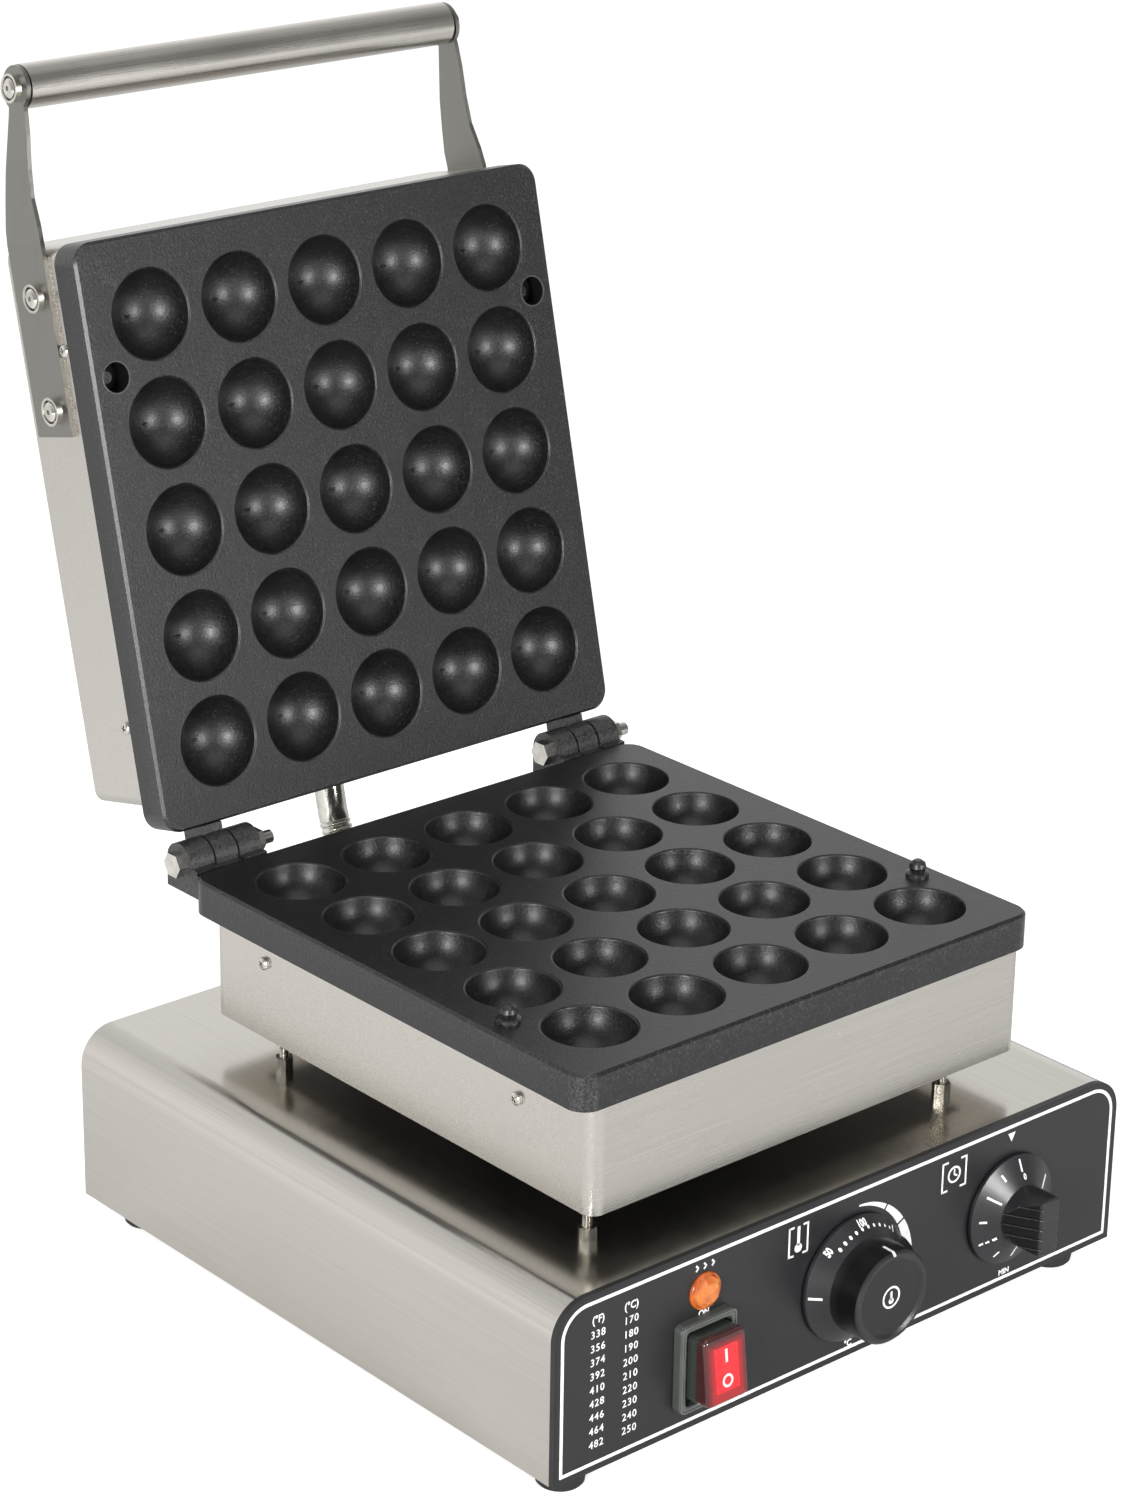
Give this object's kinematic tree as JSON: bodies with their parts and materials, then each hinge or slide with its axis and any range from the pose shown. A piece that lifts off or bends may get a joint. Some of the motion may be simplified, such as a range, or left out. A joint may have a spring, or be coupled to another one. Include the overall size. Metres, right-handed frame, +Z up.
{
  "type": "poffertjes maker",
  "caption": "Countertop poffertjes maker: hinged cast plates with rows of round bowls over a steel base with thermostat knob, timer knob, rocker switch and lamp.",
  "frame": {"origin": "bottom centre of the machine's bounding box on the bench, with the lid standing open", "axes": "+X to the user's right, +Y to the back, +Z up"},
  "size_m": [0.317, 0.4348, 0.4889],
  "materials": {
    "stainless": "brushed sheet",
    "polished": "bright",
    "coated_cast": "dark non-stick coating on cast aluminium",
    "zinc": "zinc plated",
    "panel": "satin black",
    "rubber": "matt",
    "knob": "satin",
    "case": "satin",
    "red": "clear red",
    "orange": "clear orange",
    "ceramic": "unglazed ceramic",
    "wool": "mineral wool",
    "brass": "plain"
  },
  "bodies": {
    "base": {"base_shell": "stainless", "base_bottom_plate": "stainless", "front_panel": "panel", "feet": "rubber", "foot_screws": "zinc", "foot_nuts": "zinc", "support_studs": "zinc", "support_nuts": "zinc", "wire_bushing": "case", "lower_housing": "stainless", "lower_housing_floor": "stainless", "lower_housing_screws": "zinc", "lower_insulation": "wool", "lower_plate": "coated_cast", "alignment_pegs": "zinc", "lower_heater": "stainless", "lower_heater_beads": "ceramic", "lower_heater_pins": "zinc", "lower_heater_clamps": "stainless", "lower_clamp_screws": "zinc", "hinge_bolts": "zinc", "hinge_nuts": "zinc", "thermostat_body": "zinc", "thermostat_feeler": "brass", "timer_body": "zinc", "pilot_lamp_lens": "orange", "pilot_lamp_body": "case", "pilot_lamp_nut": "zinc", "switch_case": "case", "switch_blades": "brass", "terminal_block": "ceramic", "terminal_screws": "zinc", "cord_gland": "case", "cord_gland_nut": "case", "conduit": "polished", "base_conduit_gland": "polished", "base_gland_nut": "polished"},
    "lid": {"upper_plate": "coated_cast", "upper_housing": "stainless", "upper_housing_screws": "zinc", "upper_insulation": "wool", "upper_heater": "stainless", "upper_heater_beads": "ceramic", "upper_heater_pins": "zinc", "upper_heater_clamps": "stainless", "upper_clamp_screws": "zinc", "handle_arm_left": "stainless", "handle_arm_right": "stainless", "handle_tube": "stainless", "handle_plugs": "stainless", "handle_screws": "zinc", "handle_cup_washers": "polished", "handle_nuts": "zinc", "lid_conduit_gland": "polished", "lid_gland_nut": "polished"},
    "temperature_knob": {"temperature_knob": "knob", "thermostat_shaft": "zinc"},
    "timer_knob": {"timer_knob": "knob", "timer_shaft": "zinc"},
    "switch_rocker": {"switch_rocker": "red"}
  },
  "joints": [
    {"name": "lid_hinge", "type": "hinge", "parent": "base", "child": "lid", "pos_m": [0, 0.09524, 0.1663], "axis": [1, 0, 0], "range_deg": [0, 103.26], "deforming": ["conduit"]},
    {"name": "temperature_turn", "type": "hinge", "parent": "base", "child": "temperature_knob", "pos_m": [0, -0.19336, 0.048], "axis": [0, 1, 0], "range_deg": [0, 280]},
    {"name": "timer_turn", "type": "hinge", "parent": "base", "child": "timer_knob", "pos_m": [0.0925, -0.19336, 0.048], "axis": [0, 1, 0], "range_deg": [0, 300]},
    {"name": "rocker_tilt", "type": "hinge", "parent": "base", "child": "switch_rocker", "pos_m": [-0.0822, -0.19336, 0.0408], "axis": [1, 0, 0], "range_deg": [0, 14]}
  ]
}
